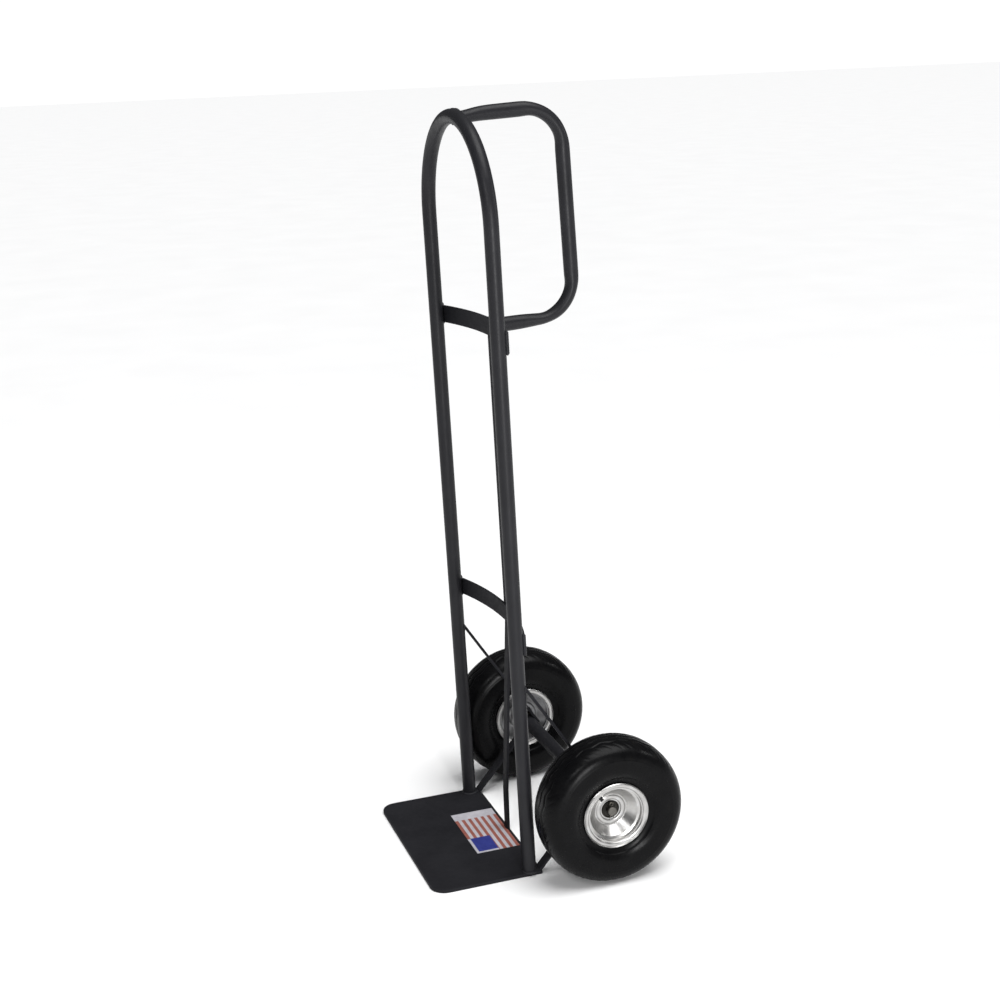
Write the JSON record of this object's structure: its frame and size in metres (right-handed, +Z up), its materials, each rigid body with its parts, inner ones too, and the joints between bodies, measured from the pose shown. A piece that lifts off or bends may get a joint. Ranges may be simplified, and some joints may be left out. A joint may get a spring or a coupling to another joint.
{
  "type": "hand truck",
  "caption": "Upright tube-frame hand truck with an arched top, a rear loop handle, a flat toe plate and two pneumatic wheels that turn freely on a fixed axle.",
  "frame": {"origin": "centre of the bounding box in plan, at floor level", "axes": "+Z up, +Y back from the toe plate towards the handle, +X towards the operator's left wheel"},
  "size_m": [0.5458, 0.4354, 1.3139],
  "materials": {
    "charcoal_powder_coat": "satin",
    "printed_label": "satin",
    "axle_steel": "satin",
    "tyre_rubber": "satin",
    "tube_rubber": "matte",
    "zinc_sheet": "satin",
    "bearing_steel": "satin",
    "fastener_steel": "satin",
    "valve_rubber": "matte",
    "cap_plastic": "matte"
  },
  "bodies": {
    "frame": {"frame_loop": "charcoal_powder_coat", "handle_loop": "charcoal_powder_coat", "upper_crossmember": "charcoal_powder_coat", "lower_crossmember": "charcoal_powder_coat", "center_strap": "charcoal_powder_coat", "toe_plate": "charcoal_powder_coat", "toe_plate_label": "printed_label", "axle_tube": "charcoal_powder_coat", "axle": "axle_steel", "left_upper_brace": "charcoal_powder_coat", "left_lower_brace": "charcoal_powder_coat", "left_inner_washer": "fastener_steel", "left_outer_washer": "fastener_steel", "left_split_pin": "fastener_steel", "right_upper_brace": "charcoal_powder_coat", "right_lower_brace": "charcoal_powder_coat", "right_inner_washer": "fastener_steel", "right_outer_washer": "fastener_steel", "right_split_pin": "fastener_steel"},
    "left_wheel": {"left_tyre": "tyre_rubber", "left_inner_tube": "tube_rubber", "left_rim_barrel": "zinc_sheet", "left_outer_disc": "zinc_sheet", "left_inner_disc": "zinc_sheet", "left_hub_tube": "zinc_sheet", "left_valve_stem": "valve_rubber", "left_valve_cap": "cap_plastic", "left_outer_bearing_cup": "bearing_steel", "left_outer_bearing_cone": "bearing_steel", "left_outer_bearing_balls": "bearing_steel", "left_inner_bearing_cup": "bearing_steel", "left_inner_bearing_cone": "bearing_steel", "left_inner_bearing_balls": "bearing_steel"},
    "right_wheel": {"right_tyre": "tyre_rubber", "right_inner_tube": "tube_rubber", "right_rim_barrel": "zinc_sheet", "right_outer_disc": "zinc_sheet", "right_inner_disc": "zinc_sheet", "right_hub_tube": "zinc_sheet", "right_valve_stem": "valve_rubber", "right_valve_cap": "cap_plastic", "right_outer_bearing_cup": "bearing_steel", "right_outer_bearing_cone": "bearing_steel", "right_outer_bearing_balls": "bearing_steel", "right_inner_bearing_cup": "bearing_steel", "right_inner_bearing_cone": "bearing_steel", "right_inner_bearing_balls": "bearing_steel"}
  },
  "joints": [
    {"name": "left_wheel_spin", "type": "hinge", "parent": "frame", "child": "left_wheel", "pos_m": [0.2278, 0.08775, 0.13], "axis": [1, 0, 0], "continuous": true},
    {"name": "right_wheel_spin", "type": "hinge", "parent": "frame", "child": "right_wheel", "pos_m": [-0.2278, 0.08775, 0.13], "axis": [1, 0, 0], "continuous": true}
  ]
}
